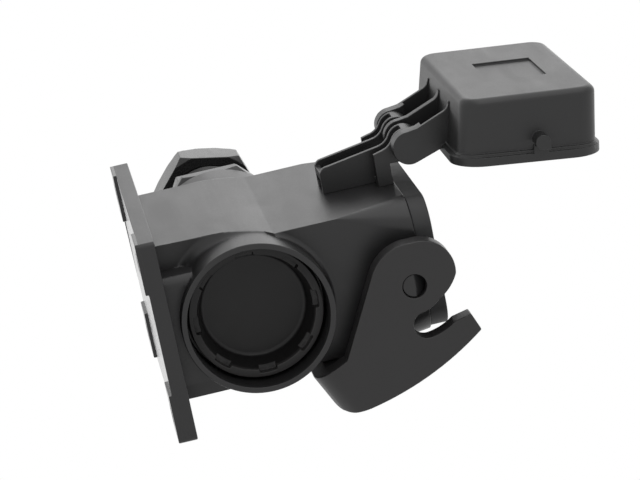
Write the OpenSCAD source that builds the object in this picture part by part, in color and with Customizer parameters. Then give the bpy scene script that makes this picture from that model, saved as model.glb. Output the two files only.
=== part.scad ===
/* [Flange] */
// Length of the mounting flange, along X
flange_l = 82; // [80:0.5:96]
// Width of the mounting flange, along Y
flange_w = 52; // [50:0.5:64]
// Thickness of the flange, feet included
flange_t = 4.8; // [4:0.1:7]
// Corner radius of the flange
flange_corner_r = 1.2; // [0.6:0.1:4]
// Fixing hole spacing along X
fix_pitch_x = 70; // [68:0.5:74]
// Fixing hole spacing along Y
fix_pitch_y = 40; // [38:0.5:44]
// Fixing hole diameter
fix_hole_d = 5.5; // [4:0.1:6.5]
// Height of the four corner feet
foot_h = 0.8; // [0.4:0.1:1.5]
// Length of each corner foot along X
foot_l = 12; // [10:0.5:14]
// Length of each corner foot along Y
foot_w = 12.8; // [10:0.1:14]

/* [Body] */
// Length of the lower body, along X
body_l = 51.6; // [48:0.2:53]
// Width of the lower body, along Y
body_w = 40.6; // [39:0.2:44]
// Length of the neck, along X
neck_l = 58; // [56:0.2:60]
// Width of the neck, along Y
neck_w = 35.6; // [34:0.2:37]
// Height at which the shoulder starts to curve in
shoulder_z = 19; // [16:0.5:22]
// Height at which the shoulder meets the neck
neck_z = 34.5; // [32:0.5:37]
// Height at which the neck's long edges start to round off
neck_round_z = 50; // [44:0.5:58]
// Radius of the neck's long edges at the mouth
neck_corner_r = 8; // [5:0.5:9]
// Height of the ledge that the mouth seal sits on
ledge_z = 68.8; // [67.5:0.1:70]
// Wall thickness of the lower body
body_wall = 2.6; // [2:0.1:3.4]
// Thickness of the closed bottom
floor_t = 2.6; // [2:0.1:4]
// Distance from the neck's outside to the mouth opening
mouth_wall = 3.9; // [3.7:0.1:5]
// Corner radius of the mouth opening
mouth_corner_r = 4; // [2:0.5:5]
// Wall thickness of the lip round the mouth
lip_wall = 2; // [1.6:0.1:2.1]
// Height of the lip above the ledge
lip_h = 4.2; // [3.4:0.1:4.4]

/* [Mouth seal] */
// Wall thickness of the mouth seal
seal_wall = 1.2; // [0.8:0.1:1.4]
// Height of the mouth seal
seal_h = 4.6; // [4.4:0.1:4.8]
// Gap between the seal and the lip
seal_gap = 0.05; // [0.02:0.01:0.1]

/* [Insert bushes] */
// Bush spacing along X
bush_pitch_x = 44; // [40:0.5:46]
// Bush spacing along Y
bush_pitch_y = 27; // [24:0.5:28]
// Diameter of the pillars that hold the bushes
pillar_d = 7.2; // [6.6:0.1:8]
// Height of the pillars' top faces
pillar_z = 63; // [58:0.5:65]
// Height of the pillars' lower ends
pillar_base_z = 38; // [36:0.5:44]
// Outside diameter of a bush
bush_d = 4.8; // [4.4:0.1:5.2]
// Bore of a bush
bush_bore_d = 3.3; // [2.5:0.1:3.6]
// Length of a bush
bush_l = 8; // [5:0.5:12]

/* [Cable entries] */
// Height of the entry axis
entry_z = 25.9; // [24.5:0.1:27]
// Distance of the entry rims from the centre
entry_rim_x = 37.9; // [37.6:0.1:39.5]
// Outer radius of the entry collars
entry_r = 19.2; // [18.4:0.1:19.6]
// Inner radius of the entry collars
entry_bore_r = 17.7; // [17.4:0.1:18]
// Distance of the shelf inside each entry from the centre
entry_shelf_x = 27.4; // [27:0.1:28.4]
// Radius of the hole through the end wall
entry_hole_r = 14.5; // [14.2:0.1:15]
// Radius of the fillet at the foot of each collar
entry_fillet_r = 3; // [1:0.1:3.2]
// Radius of the fillet between each collar and the neck
neck_fillet_r = 1.4; // [0.8:0.1:1.6]

/* [Blanking plug] */
// Outer radius of the plug's ring
plug_r = 16.8; // [16.2:0.1:17]
// Radius inside the ring, at the front
plug_cup_r = 14.8; // [14.2:0.1:15]
// Radius of the plug's floor
plug_floor_r = 13.3; // [12.6:0.1:13.6]
// Distance of the ring's face behind the rim
plug_recess = 5.3; // [4.4:0.1:6]
// Depth of the cup behind the ring's face
plug_cup_depth = 7; // [5:0.1:8]
// Thickness of the plug's floor
plug_floor_t = 2.2; // [1.6:0.1:3]
// Number of notches round the cup
notch_count = 8; // [6:1:10]
// Width of a notch
notch_w = 4.4; // [3:0.1:5]
// Depth of a notch into the ring
notch_depth = 0.9; // [0.5:0.1:1.2]
// Clearance of the spigots in the end walls
spigot_gap = 0.15; // [0.1:0.05:0.25]
// Cord radius of the two entry seal rings
ring_cord_r = 1; // [0.8:0.05:1.1]

/* [Gland] */
// Width across flats of the adapter's eight-sided flange
adapter_af = 36.8; // [34:0.2:37.4]
// Thickness of the adapter's flange
adapter_t = 3.6; // [3:0.2:5]
// Distance beyond the adapter's flats at which its corners are turned down
adapter_turned = 0.1; // [0:0.1:0.6]
// Gap between the entry rim and the adapter's flange
adapter_gap = 0.8; // [0.3:0.1:1]
// Radius of the gland thread in the adapter
gland_thread_r = 12.4; // [11.8:0.1:12.6]
// Thickness of the flat seal under the gland's hexagon
gland_seal_t = 1.4; // [1:0.1:2]
// Width across flats of the gland's hexagons
gland_af = 29; // [28:0.2:30]
// Length of the gland body's hexagon
gland_hex_l = 14; // [8:0.5:15]
// Distance of the nut's inner face from the centre
nut_x = 71; // [68:0.5:73]
// Length of the nut's hexagon
nut_hex_l = 11.5; // [10:0.5:13]
// Length of the turned end of the nut's hexagon
nut_turned_l = 3; // [1.5:0.1:4]
// Length of the nut's dome
nut_dome_l = 7; // [6:0.5:9]
// Rest turn of the nut about the entry axis
nut_turn = 11; // [0:1:59]
// Radius of the cable way
cable_r = 8.6; // [7.5:0.1:8.8]
// Radius of the free way through the sealing insert
insert_bore_r = 6.5; // [5:0.1:7]
// Running clearance of the nut on its thread
nut_gap = 0.1; // [0.06:0.02:0.1]
// Number of fingers on the clamping cage
cage_fingers = 8; // [6:1:12]
// Wall thickness of the clamping cage
cage_wall = 1.4; // [1:0.1:1.6]
// Length of the cage's ring in the gland body
cage_ring_l = 6; // [4:0.5:8]
// Length of the cage's fingers between the gland body and the nut's cone
cage_finger_l = 3; // [2:0.2:4]
// Width of the slots between the cage's fingers
cage_slot_w = 1.2; // [0.8:0.1:2]
// Length of the flared ends of the sealing insert
insert_flare_l = 3; // [2:0.1:4]
// Widening of the sealing insert at its ends
insert_flare = 0.8; // [0.4:0.1:1.2]
// Gap between the cage, the insert and the gland body
cage_gap = 0.05; // [0.02:0.01:0.1]

/* [Locking lever] */
// Pivot axis, across the neck
pivot_y = -1; // [-1.6:0.1:-0.4]
// Pivot axis height
pivot_z = 65.1; // [64.6:0.1:65.6]
// Radius of the pivot pegs
pivot_r = 2.95; // [2.4:0.05:3.2]
// Running clearance on the pivot pegs
pivot_gap = 0.08; // [0.05:0.01:0.1]
// Radius of the bosses behind the lever
pivot_boss_r = 6.2; // [5:0.1:7]
// Distance of the lever's inner faces from the centre
lever_x = 33; // [32.8:0.1:34]
// Thickness of the lever's side plates
lever_t = 5; // [4:0.1:5.5]
// Radius of the lever's head about the pivot
lever_head_r = 11.2; // [10.6:0.1:11.6]
// Radius of the nose beside the slot
nose_r = 8.7; // [8.4:0.1:8.8]
// Radius of the lever's long underside arc
underside_r = 75; // [60:1:110]
// Radius of the lever's heel
heel_r = 5; // [4:0.1:5.5]
// Distance of the heel from the pivot, across the neck
heel_y = 24.3; // [23.5:0.1:26]
// Distance of the heel below the pivot
heel_z = 20.5; // [19.5:0.1:21.5]
// Distance of the hook's tip from the pivot
hook_tip_r = 20.8; // [19.5:0.1:22]
// Distance of the hook's upper corner from the pivot
hook_top_r = 16.3; // [15.8:0.1:17]
// Width of the handle's lower face
bar_face_l = 8.3; // [7:0.1:9]
// Depth of the handle's bar
bar_depth = 9.6; // [8:0.1:10]
// Gap between the handle and the neck when the lever is open
bar_gap = 0.6; // [0.5:0.1:1.2]
// Radius of the rounded corners of the handle
handle_corner_r = 7; // [4:0.5:8]
// Turn from open to locked, in degrees
lever_swing = 75; // [70:0.5:78]

/* [Hinge] */
// Hinge axis, outside the neck
hinge_y = 27.2; // [27:0.1:28]
// Hinge axis height
hinge_z = 73.5; // [73.2:0.1:74]
// Radius of the bracket's knuckles
knuckle_r = 4.1; // [3.8:0.05:4.3]
// Radius of the trunnions on the cover's arms
trunnion_r = 2; // [1.6:0.05:2.2]
// Running clearance of the trunnions
trunnion_gap = 0.06; // [0.03:0.01:0.1]
// Thickness of the bracket's ribs
rib_t = 1.4; // [1.2:0.1:1.6]
// Distance from the centre to the inner ribs' inner faces
rib_inner_x = 3.6; // [3:0.1:4]
// Distance from the centre to the outer ribs' outer faces
rib_outer_x = 10.2; // [9.6:0.1:10.6]
// Height at which the bracket's tongue starts
tongue_z = 50.8; // [48:0.2:53]
// Height at which the bracket's wide foot starts
foot_z = 64.4; // [61:0.2:64.6]
// Height at which the bracket ends
bracket_end_z = 68.4; // [67:0.1:68.4]
// Radius of the ribs' sweep up to the knuckles
rib_sweep_r = 4.2; // [2:0.1:4.6]
// Radius of the inner ribs' front corners
rib_nose_r = 2; // [1:0.1:2.4]
// Thickness of the bracket's base
bracket_base_t = 1.6; // [1.2:0.1:2]
// Height of the bracket's end wall
bracket_wall_h = 5; // [4:0.2:6]
// Height of the tie bar between the inner ribs' front ends
tie_h = 2; // [1.4:0.2:2.4]
// Distance of the tie bar's lower face below the ribs' top edge
tie_drop = 3.4; // [3:0.1:3.6]
// Clearance of the bracket on its rail
rail_gap = 0.12; // [0.05:0.01:0.2]

/* [Cover] */
// Opening of the cover in the modelled pose, in degrees
cover_open = 82.5; // [60:0.5:120]
// Length of the cover's rim, along X
rim_l = 65; // [64.4:0.2:65.2]
// Width of the cover's rim, along Y
rim_w = 38; // [37.8:0.1:39]
// Corner radius of the rim
rim_corner_r = 8; // [6:0.5:8]
// Height of the rim's lower face with the cover closed
rim_z = 71.5; // [71.2:0.1:72]
// Height of the rim band
rim_h = 2.2; // [1.6:0.1:2.4]
// Length of the cap above the rim
cap_l = 61.4; // [60:0.2:62]
// Width of the cap above the rim
cap_w = 35.4; // [34.6:0.2:35.8]
// Corner radius of the cap
cap_corner_r = 4.8; // [4.4:0.2:6]
// Height of the cap's top with the cover closed
cap_z = 88.2; // [85:0.2:90]
// Radius of the cap's top edge
cap_edge_r = 1.9; // [1.5:0.1:3]
// Narrowing of the cap towards its top, on each side
cap_draft = 0.5; // [0:0.1:0.8]
// Lean of the cap away from the hinge, at its top
cap_lean = 0.9; // [0:0.1:1.2]
// Slope of the cap's top towards the hinge, in degrees
cap_slope = 1.2; // [0:0.1:2]
// Wall thickness of the cap
cap_wall = 2.2; // [1.6:0.1:2.6]
// Gap between the mouth seal and the rim
rim_gap = 0.7; // [0.6:0.05:0.8]
// Length of the shallow recess on the top
recess_l = 20.4; // [16:0.2:32]
// Width of the shallow recess on the top
recess_w = 15; // [10:0.2:20]
// Depth of the shallow recess on the top
recess_depth = 0.6; // [0.3:0.1:1]
// Place of the latch pegs across the cover
peg_y = -2.7; // [-3.2:0.1:-2.6]
// Height of the latch pegs with the cover closed
peg_z = 76.9; // [76.8:0.1:77.4]
// Radius of the latch pegs
peg_r = 1.9; // [1.4:0.05:1.9]
// Clearance of the pegs in the lever's slots
peg_gap = 0.15; // [0.1:0.05:0.3]
// Distance of the pegs' ends from the centre
peg_x = 35.2; // [34.6:0.1:37.6]
// Distance from the centre to the outer faces of the hinge arms
arm_x = 14.5; // [13.5:0.1:15.5]
// Radius of the hinge arms' round ends
arm_r = 4.25; // [4:0.05:4.4]
// Thickness of the middle hinge arm
arm_mid_t = 2.4; // [1.8:0.1:3]
// Radius of the arms' sweep up to the cap
arm_curl_r = 2.8; // [2:0.1:3.4]
// Thickness of the outer arms' thin plates
arm_wall = 1.3; // [1:0.1:1.8]
// Side gap between the arms and the bracket
arm_gap = 0.3; // [0.25:0.05:0.5]

/* [Hidden] */
$fn = 96;
hull_fn = 48;
lap = 1;
shell_colour = [0.13, 0.13, 0.14];
rubber_colour = [0.07, 0.07, 0.07];
brass_colour = [0.80, 0.65, 0.30];
shoulder_drop = (body_w - neck_w) / 2;
shoulder_rise = neck_z - shoulder_z;
shoulder_r = (shoulder_rise * shoulder_rise + shoulder_drop * shoulder_drop) / (2 * shoulder_drop);
mouth_l = neck_l - 2 * mouth_wall;
mouth_w = neck_w - 2 * mouth_wall;
lip_l = mouth_l + 2 * lip_wall;
lip_w = mouth_w + 2 * lip_wall;
lip_corner_r = mouth_corner_r + lip_wall;
seal_l = lip_l + 2 * (seal_gap + seal_wall);
seal_w = lip_w + 2 * (seal_gap + seal_wall);
seal_corner_r = lip_corner_r + seal_gap + seal_wall;
seal_top_z = ledge_z + seal_h;
cavity_l = body_l - 2 * body_wall;
plug_face_x = entry_rim_x - plug_recess;
plug_ring_back_x = entry_shelf_x + 2 * ring_cord_r;
plug_floor_x = plug_face_x - plug_cup_depth;
ring_centre_r = (entry_hole_r + entry_bore_r) / 2;
adapter_face_x = entry_rim_x + adapter_gap;
adapter_end_x = adapter_face_x + adapter_t;
adapter_spigot_r = entry_bore_r - spigot_gap;
gland_hex_x = adapter_end_x + gland_seal_t;
gland_hex_end_x = gland_hex_x + gland_hex_l;
nut_thread_r = gland_thread_r - 0.4;
nut_cone_x = nut_x + nut_hex_l - 1.5;
nut_end_x = nut_x + nut_hex_l + nut_dome_l;
gland_top_x = nut_cone_x - cage_finger_l;
cage_ring_r = nut_thread_r - 0.6;
cage_seat_x = gland_top_x - cage_ring_l;
cage_end_x = nut_cone_x + 1.6;
bracket_y = neck_w / 2;
rail_w = 2 * rib_inner_x - 2.4;
rail_flare = 0.5;
rib_top_y = 24.6;
rib_top_z = 52.4;
rib_rise_y = 27;
rib_rise_z = 67.4;
peg_reach_r = norm([peg_y - pivot_y, peg_z - pivot_z]);
peg_turn = atan2(peg_y - pivot_y, peg_z - pivot_z);
slot_outer_r = peg_reach_r + peg_r + peg_gap;
slot_inner_r = 0.643 * lever_head_r;
slot_bend_turn = -54;
nose = lever_head_r * [0.223, 0.196];
nose_turn = 13.3;
nose_trim = lever_head_r * [0.535, -0.03];
nose_trim_r = 1.09 * lever_head_r;
heel = [-heel_y, -heel_z];
bar_along = [0.9, -0.436];
bar_out = [-0.436, -0.9];
heel_face = heel + heel_r * bar_out;
bar_end = heel_face + bar_face_l * bar_along;
bar_inner = bar_end - bar_depth * bar_out;
slot_end_turn = peg_turn - lever_swing;
slot_end_r = (slot_outer_r - slot_inner_r) / 2;
slot_mid_r = (slot_outer_r + slot_inner_r) / 2;
rim_inner_l = seal_l + 2 * rim_gap;
rim_inner_w = seal_w + 2 * rim_gap;
rim_inner_corner_r = seal_corner_r + rim_gap;
rim_step_z = seal_top_z + 0.5;
cap_inner_l = cap_l - 2 * cap_wall;
cap_inner_w = cap_w - 2 * (cap_wall + cap_draft) - 0.4;
arm_inner_x = rib_outer_x + arm_gap;
wall_y = cap_w / 2 - 1.7;
web_top = 1.2;
web_t = 1.6;
recess_y = -1.2;

// A point at radius r and turn a, measured from +Z towards +Y
function polar(r, a) = [r * sin(a), r * cos(a)];

// Centre of the circle of radius r through p and q, to the right of the way from p to q
function arc_centre(p, q, r) =
    let(d = q - p, m = (p + q) / 2, h = sqrt(r * r - d * d / 4))
    m + h * [d[1], -d[0]] / norm(d);

// Lays a flat shape drawn in Y and Z out along X, from x0 to x1
module along_x(x0, x1) {
    translate([x0, 0, 0])
        rotate([90, 0, 90])
            linear_extrude(x1 - x0)
                children();
}

// Turns a flat shape drawn as radius and distance about an axis along X
module about_x(y, z) {
    translate([0, y, z])
        rotate([0, 90, 0])
            rotate_extrude()
                children();
}

// A round bar along X
module rod_x(r, x0, x1, y, z) {
    translate([x0, y, z])
        rotate([0, 90, 0])
            cylinder(r = r, h = x1 - x0);
}

// Repeats a piece at both ends of the housing
module both_ends() {
    children();
    mirror([1, 0, 0])
        children();
}

// Repeats a piece at the four corners of a rectangle
module four_corners(l, w) {
    for (x = [-l / 2, l / 2])
        for (y = [-w / 2, w / 2])
            translate([x, y, 0])
                children();
}

// A rectangle with round corners, made of exact arcs
module round_rect(l, w, r) {
    square([l - 2 * r, w], center = true);
    square([l, w - 2 * r], center = true);
    four_corners(l - 2 * r, w - 2 * r)
        circle(r);
}

// Cross-section of the lower body and its shoulder, drawn in by an inset
module body_section(inset, base_z) {
    half_w = body_w / 2 - inset;
    translate([-half_w, base_z])
        square([2 * half_w, shoulder_z - base_z]);
    intersection() {
        translate([body_w / 2 - shoulder_r, shoulder_z])
            circle(shoulder_r - inset);
        translate([shoulder_r - body_w / 2, shoulder_z])
            circle(shoulder_r - inset);
        translate([-half_w, shoulder_z - 0.01])
            square([2 * half_w, shoulder_rise + 0.01]);
    }
}

// The neck: sharp edges at the shoulder that round off towards the mouth
module neck_block() {
    hull() {
        translate([-neck_l / 2, -neck_w / 2, neck_z])
            cube([neck_l, neck_w, neck_round_z - neck_z]);
        translate([0, 0, ledge_z - 0.1])
            linear_extrude(0.1)
                round_rect(neck_l, neck_w, neck_corner_r, $fn = hull_fn);
    }
}

// The end walls, swept outwards below the neck in the form of the shoulder
module end_ramps() {
    step = (neck_l - body_l) / 2;
    rise = neck_z - entry_z;
    sweep_r = (rise * rise + step * step) / (2 * step);
    intersection() {
        along_x(-neck_l / 2, neck_l / 2)
            body_section(0, flange_t);
        translate([0, body_w / 2, 0])
            rotate([90, 0, 0])
                linear_extrude(body_w)
                    difference() {
                        translate([-neck_l / 2, entry_z])
                            square([neck_l, rise]);
                        translate([body_l / 2 + sweep_r, entry_z])
                            circle(sweep_r);
                        translate([-body_l / 2 - sweep_r, entry_z])
                            circle(sweep_r);
                    }
    }
}

// The flange plate with its four corner feet
module flange_plate() {
    translate([0, 0, foot_h])
        linear_extrude(flange_t - foot_h)
            round_rect(flange_l, flange_w, flange_corner_r);
    linear_extrude(foot_h + lap)
        intersection() {
            round_rect(flange_l, flange_w, flange_corner_r);
            four_corners(flange_l, flange_w)
                square([2 * foot_l, 2 * foot_w], center = true);
        }
}

// One cable entry collar with the fillets at its foot
module entry_collar() {
    rod_x(entry_r, cavity_l / 2 - lap, entry_rim_x, 0, entry_z);
    intersection() {
        about_x(0, entry_z)
            collar_fillet(body_l / 2, entry_fillet_r);
        along_x(0, entry_rim_x)
            body_section(0.02, flange_t - 0.5);
    }
    intersection() {
        about_x(0, entry_z)
            collar_fillet(neck_l / 2, neck_fillet_r);
        translate([0, -neck_w / 2 + 0.02, neck_z + 0.02])
            cube([entry_rim_x, neck_w - 0.04, neck_w]);
    }
}

// Section of the hollow fillet of radius r between a collar and the wall at face_x
module collar_fillet(face_x, r) {
    difference() {
        translate([entry_r - lap, face_x - lap])
            square(lap + r);
        translate([entry_r + r, face_x + r])
            circle(r);
    }
}

// One pivot peg: boss, peg and the sloped half of its end
module pivot_peg() {
    peg_end_x = lever_x + lever_t - 0.6;
    rod_x(pivot_boss_r, neck_l / 2 - 0.4, lever_x - 0.3, pivot_y, pivot_z);
    difference() {
        rod_x(pivot_r, lever_x - lap, peg_end_x, pivot_y, pivot_z);
        translate([peg_end_x, pivot_y - 2 * pivot_r, pivot_z])
            rotate([0, -36, 0])
                cube([2 * pivot_r, 4 * pivot_r, 4 * pivot_r]);
    }
}

// Section of the dovetail rail that carries the hinge bracket
module rail_section(gap) {
    half_w = rail_w / 2 + gap;
    top_y = bracket_y + bracket_base_t + gap;
    polygon([[-half_w, bracket_y - lap], [half_w, bracket_y - lap], [half_w, bracket_y],
             [half_w + rail_flare, top_y], [-half_w - rail_flare, top_y], [-half_w, bracket_y]]);
}

module housing_shell() {
    color(shell_colour) {
        difference() {
            union() {
                flange_plate();
                along_x(-body_l / 2, body_l / 2)
                    body_section(0, flange_t - lap);
                end_ramps();
                neck_block();
                translate([0, 0, neck_z])
                    cube([neck_l - 2, neck_w - 2, 4], center = true);
                translate([0, 0, ledge_z - lap])
                    linear_extrude(lip_h + lap)
                        round_rect(lip_l, lip_w, lip_corner_r);
                both_ends()
                    entry_collar();
                both_ends()
                    pivot_peg();
                translate([0, 0, tongue_z + lap])
                    linear_extrude(bracket_end_z - tongue_z - 3 * lap)
                        rail_section(0);
            }
            along_x(-cavity_l / 2, cavity_l / 2)
                body_section(body_wall, foot_h + floor_t);
            translate([0, 0, neck_z - 2])
                linear_extrude(ledge_z)
                    round_rect(mouth_l, mouth_w, mouth_corner_r);
            both_ends() {
                rod_x(entry_bore_r, entry_shelf_x, entry_rim_x + lap, 0, entry_z);
                rod_x(entry_hole_r, cavity_l / 2 - 2 * lap, entry_shelf_x + lap, 0, entry_z);
            }
            translate([0, 0, -lap])
                four_corners(fix_pitch_x, fix_pitch_y)
                    cylinder(d = fix_hole_d, h = flange_t + 2 * lap);
            bush_bores();
        }
        bush_pillars();
    }
}

// The four pillars in the corners of the mouth, bored for the bushes
module bush_pillars() {
    difference() {
        intersection() {
            translate([0, 0, pillar_base_z])
                four_corners(bush_pitch_x, bush_pitch_y)
                    cylinder(d = pillar_d, h = pillar_z - pillar_base_z);
            translate([0, 0, pillar_base_z - lap])
                linear_extrude(pillar_z)
                    square([mouth_l + 1, mouth_w + 1], center = true);
        }
        bush_bores();
    }
}

// The four bores that the bushes are pressed into
module bush_bores() {
    translate([0, 0, pillar_z - bush_l - 2])
        four_corners(bush_pitch_x, bush_pitch_y)
            cylinder(d = bush_d, h = bush_l + 2);
}

module insert_bushes() {
    color(brass_colour)
        translate([0, 0, pillar_z - bush_l])
            four_corners(bush_pitch_x, bush_pitch_y)
                difference() {
                    cylinder(d = bush_d, h = bush_l);
                    translate([0, 0, -lap])
                        cylinder(d = bush_bore_d, h = bush_l + 2 * lap);
                }
}

module mouth_seal() {
    color(rubber_colour)
        translate([0, 0, ledge_z])
            difference() {
                linear_extrude(seal_h)
                    round_rect(seal_l, seal_w, seal_corner_r);
                translate([0, 0, -lap])
                    linear_extrude(seal_h + 2 * lap)
                        round_rect(lip_l + 2 * seal_gap, lip_w + 2 * seal_gap, lip_corner_r + seal_gap);
            }
}

// The plug closes the entry at -X: a castellated ring round a deep cup
module blanking_plug() {
    spigot_r = entry_hole_r - spigot_gap;
    spigot_end_x = plug_floor_x - plug_floor_t;
    notch_r = plug_cup_r + notch_depth;
    color(shell_colour)
        mirror([1, 0, 0])
            difference() {
                union() {
                    rod_x(plug_r, plug_ring_back_x, plug_face_x, 0, entry_z);
                    rod_x(spigot_r, spigot_end_x, plug_ring_back_x + lap, 0, entry_z);
                }
                about_x(0, entry_z)
                    polygon([[0, plug_floor_x], [plug_floor_r, plug_floor_x],
                             [plug_cup_r, plug_face_x], [plug_cup_r, plug_face_x + lap],
                             [0, plug_face_x + lap]]);
                intersection() {
                    rod_x(notch_r, plug_ring_back_x + lap, plug_face_x + lap, 0, entry_z);
                    for (i = [0 : notch_count - 1])
                        translate([plug_ring_back_x, 0, entry_z])
                            rotate([360 / notch_count * (i + 0.5), 0, 0])
                                translate([0, 0, -notch_w / 2])
                                    cube([plug_cup_depth, notch_r + lap, notch_w]);
                }
            }
}

module seal_ring() {
    about_x(0, entry_z)
        translate([ring_centre_r, entry_shelf_x + ring_cord_r])
            circle(ring_cord_r);
}

module plug_seal_ring() {
    color(rubber_colour)
        mirror([1, 0, 0])
            seal_ring();
}

module adapter_seal_ring() {
    color(rubber_colour)
        seal_ring();
}

// The adapter fills the entry at +X and takes the gland's thread
module gland_adapter() {
    back_x = plug_ring_back_x;
    spigot_end_x = cavity_l / 2;
    turned_r = adapter_af / 2 + adapter_turned;
    color(shell_colour)
        difference() {
            union() {
                translate([adapter_face_x, 0, entry_z])
                    rotate([0, 90, 0])
                        intersection() {
                            rotate([0, 0, 22.5])
                                cylinder(d = adapter_af / cos(22.5), h = adapter_t, $fn = 8);
                            cylinder(r1 = turned_r, r2 = turned_r + adapter_t, h = adapter_t);
                        }
                rod_x(adapter_spigot_r, back_x, adapter_face_x + lap, 0, entry_z);
                rod_x(entry_hole_r - spigot_gap, spigot_end_x, back_x + lap, 0, entry_z);
            }
            rod_x(gland_thread_r, spigot_end_x - lap, adapter_end_x + lap, 0, entry_z);
        }
}

module gland_body_seal() {
    color(rubber_colour)
        difference() {
            rod_x(gland_af / 2 - 0.6, adapter_end_x, gland_hex_x, 0, entry_z);
            rod_x(gland_thread_r + 0.1, adapter_end_x - lap, gland_hex_x + lap, 0, entry_z);
        }
}

// A hexagon prism along X with a flat towards +Y, turned about the entry axis
module hex_x(x0, x1, turn) {
    translate([x0, 0, entry_z])
        rotate([turn, 0, 0])
            rotate([0, 90, 0])
                rotate([0, 0, 0])
                    cylinder(d = gland_af / cos(30), h = x1 - x0, $fn = 6);
}

module gland_body() {
    thread_start_x = cavity_l / 2 + 2;
    color(shell_colour)
        difference() {
            union() {
                rod_x(gland_thread_r - 0.03, thread_start_x, gland_hex_x + lap, 0, entry_z);
                hex_x(gland_hex_x, gland_hex_end_x, 0);
                rod_x(nut_thread_r, gland_hex_end_x - lap, gland_top_x, 0, entry_z);
            }
            rod_x(cable_r, thread_start_x - lap, gland_top_x + lap, 0, entry_z);
            rod_x(cage_ring_r, cage_seat_x, gland_top_x + lap, 0, entry_z);
        }
}

// The cage seats in the gland body and its fingers reach into the nut's cone
module gland_cage() {
    outer_r = cage_ring_r - cage_gap;
    tip_r = outer_r - 0.8 * cage_wall;
    color(shell_colour)
        difference() {
            about_x(0, entry_z)
                polygon([[outer_r - cage_wall, cage_seat_x], [outer_r, cage_seat_x],
                         [outer_r, gland_top_x], [tip_r, cage_end_x],
                         [tip_r - cage_wall, cage_end_x], [outer_r - cage_wall, gland_top_x]]);
            for (i = [0 : cage_fingers - 1])
                translate([gland_top_x - lap, 0, entry_z])
                    rotate([360 / cage_fingers * i, 0, 0])
                        translate([0, 0, -cage_slot_w / 2])
                            cube([cage_end_x - gland_top_x + 2 * lap, cage_ring_r + lap, cage_slot_w]);
        }
}

module gland_seal_insert() {
    outer_r = cage_ring_r - cage_wall - 2 * cage_gap;
    tip_r = outer_r - 0.85 * cage_wall;
    end_r = insert_bore_r + insert_flare;
    end_x = cage_end_x - 6 * cage_gap;
    color(rubber_colour)
        about_x(0, entry_z)
            polygon([[end_r, cage_seat_x], [outer_r, cage_seat_x], [outer_r, gland_top_x],
                     [tip_r, end_x], [end_r, end_x], [insert_bore_r, cage_end_x - insert_flare_l],
                     [insert_bore_r, cage_seat_x + 0.67 * insert_flare_l]]);
}

// The dome nut screws onto the gland body
module gland_nut() {
    hex_end_x = nut_x + nut_hex_l;
    corner_r = gland_af / 2 / cos(30);
    dome_r = 12.2;
    color(shell_colour)
        difference() {
            union() {
                intersection() {
                    hex_x(nut_x, hex_end_x + nut_turned_l, nut_turn);
                    about_x(0, entry_z)
                        polygon([[0, nut_x], [corner_r - 1.5, nut_x], [corner_r, nut_x + 1.2],
                                 [corner_r, hex_end_x - nut_turned_l], [gland_af / 2 + 0.1, hex_end_x],
                                 [0, hex_end_x]]);
                }
                about_x(0, entry_z)
                    difference() {
                        polygon([[0, hex_end_x - lap], [gland_af / 2 - 0.8, hex_end_x - lap],
                                 [gland_af / 2 - 0.8, hex_end_x + 0.6],
                                 [dome_r, nut_end_x - 1.5], [dome_r - 1.5, nut_end_x], [0, nut_end_x]]);
                    }
            }
            about_x(0, entry_z)
                polygon([[0, nut_x - lap], [nut_thread_r + nut_gap, nut_x - lap],
                         [nut_thread_r + nut_gap, nut_cone_x], [cable_r + 0.6, nut_end_x - 2],
                         [cable_r, nut_end_x - 1.4], [cable_r, nut_end_x + lap], [0, nut_end_x + lap]]);
        }
}

// Side outline of the lever about its pivot, as it lies when open
module lever_outline() {
    tip = polar(hook_tip_r, -46);
    hook_top = polar(hook_top_r, -39.5);
    heel_side = heel + heel_r * [-0.99, 0.14];
    far_r = 2 * hook_top_r;
    difference() {
        union() {
            circle(lever_head_r);
            translate(nose)
                circle(nose_r);
            translate(heel)
                circle(heel_r);
            intersection() {
                polygon([polar(lever_head_r, 152), bar_inner, bar_end, heel_face, heel, heel_side,
                         heel_side + heel_r * [-0.8, 0.8], [-1.23 * heel_y, 0.39 * heel_z],
                         tip, hook_top, [0, 0]]);
                translate(arc_centre(heel_side, tip, underside_r))
                    circle(underside_r);
            }
        }
        difference() {
            union() {
                intersection() {
                    circle(slot_outer_r);
                    polygon([[0, 0], polar(far_r, nose_turn), polar(far_r, -30), polar(far_r, -60),
                             polar(far_r, slot_end_turn)]);
                }
                polygon([[0, 0], polar(slot_outer_r, slot_bend_turn), hook_top, polar(far_r, -20),
                         polar(far_r, nose_turn)]);
                translate(polar(slot_mid_r, slot_end_turn))
                    circle(slot_end_r);
            }
            circle(slot_inner_r);
            intersection() {
                translate(nose)
                    circle(nose_r);
                translate(nose_trim)
                    circle(nose_trim_r);
            }
        }
    }
}

// The lever: two hook plates and the thumb bar that joins them, in one moulding
module locking_lever() {
    outer_x = lever_x + lever_t;
    bar_inset_y = -neck_w / 2 - bar_gap - pivot_y;
    bar_top_z = heel[1] + 0.18 * heel_r;
    far_y = -1.4 * heel_y;
    low_z = -1.66 * heel_z;
    color(shell_colour)
        translate([0, pivot_y, pivot_z])
            difference() {
                union() {
                    both_ends()
                        along_x(lever_x, outer_x)
                            lever_outline();
                    along_x(-lever_x - lap, lever_x + lap)
                        intersection() {
                            lever_outline();
                            polygon([[bar_inset_y, bar_top_z], [far_y, bar_top_z + 1.5 * heel_r],
                                     [far_y, low_z], [bar_inset_y, low_z]]);
                        }
                }
                rod_x(pivot_r + pivot_gap, -outer_x - lap, outer_x + lap, 0, 0);
                both_ends()
                    translate([outer_x, heel_face[0], heel_face[1]])
                        rotate([atan2(bar_along[1], bar_along[0]), 0, 0])
                            handle_corner_cut();
            }
}

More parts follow.
